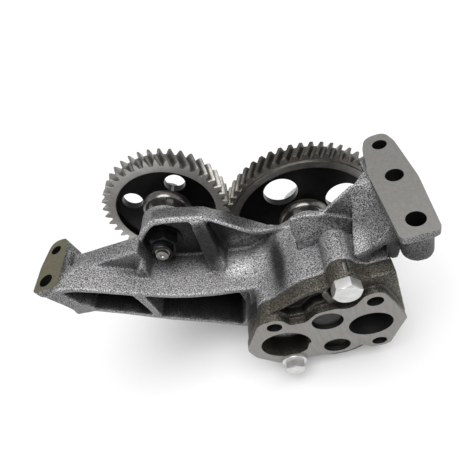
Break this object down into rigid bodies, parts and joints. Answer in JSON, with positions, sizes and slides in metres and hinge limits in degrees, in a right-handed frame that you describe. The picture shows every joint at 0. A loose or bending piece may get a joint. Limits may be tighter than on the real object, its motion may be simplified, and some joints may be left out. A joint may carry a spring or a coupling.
{
  "type": "engine oil pump",
  "caption": "Gear-driven engine oil pump in cast iron, with a long mounting arm that carries an idler gear.",
  "frame": {"origin": "where the axis of the drive shaft meets the machined port face", "axes": "+Y runs along the shafts from the port face to the helical gears; +Z is the outward normal of the flange and foot faces; +X points to the three-hole flange, so the long arm lies towards -X"},
  "size_m": [0.2595, 0.1313, 0.1686],
  "materials": {
    "cover_iron": "sand cast, machined port face",
    "housing_iron": "sand cast, machined joint and foot faces",
    "rear_iron": "sand cast, machined flange",
    "gear_steel": "dark, hobbed teeth",
    "ground_steel": "ground",
    "bronze": "satin",
    "black_steel": "black oxide",
    "bright_zinc": "bright zinc"
  },
  "bodies": {
    "housing": {"gear_housing": "housing_iron", "port_cover": "cover_iron", "rear_housing": "rear_iron", "front_drive_bush": "bronze", "front_driven_bush": "bronze", "rear_drive_bush": "bronze", "rear_driven_bush": "bronze", "idler_axle": "ground_steel", "idler_thrust_washer": "bronze", "idler_nut": "black_steel", "idler_washer": "black_steel", "column_bolt": "bright_zinc", "flange_bolt": "bright_zinc", "flange_bolt_washer": "bright_zinc", "cover_dowels": "ground_steel", "rear_dowels": "ground_steel"},
    "drive": {"drive_shaft": "ground_steel", "pump_drive_gear": "gear_steel", "input_gear": "gear_steel", "gear_key": "gear_steel", "shaft_washer": "bright_zinc", "shaft_nut": "bright_zinc"},
    "driven": {"driven_shaft": "ground_steel", "pump_driven_gear": "gear_steel"},
    "idler": {"idler_gear": "gear_steel", "idler_bush": "bronze"}
  },
  "joints": [
    {"name": "drive_spin", "type": "hinge", "parent": "housing", "child": "drive", "pos_m": [0, 0, 0], "axis": [0, 1, 0], "continuous": true},
    {"name": "driven_spin", "type": "hinge", "parent": "housing", "child": "driven", "pos_m": [0, 0, -0.0372], "axis": [0, 1, 0], "continuous": true},
    {"name": "idler_spin", "type": "hinge", "parent": "housing", "child": "idler", "pos_m": [-0.0977, 0, 0.053], "axis": [0, 1, 0], "continuous": true}
  ],
  "couplings": [
    {"joint": "driven_spin", "follows": "drive_spin", "ratio": -1},
    {"joint": "idler_spin", "follows": "drive_spin", "ratio": -1.3846}
  ]
}
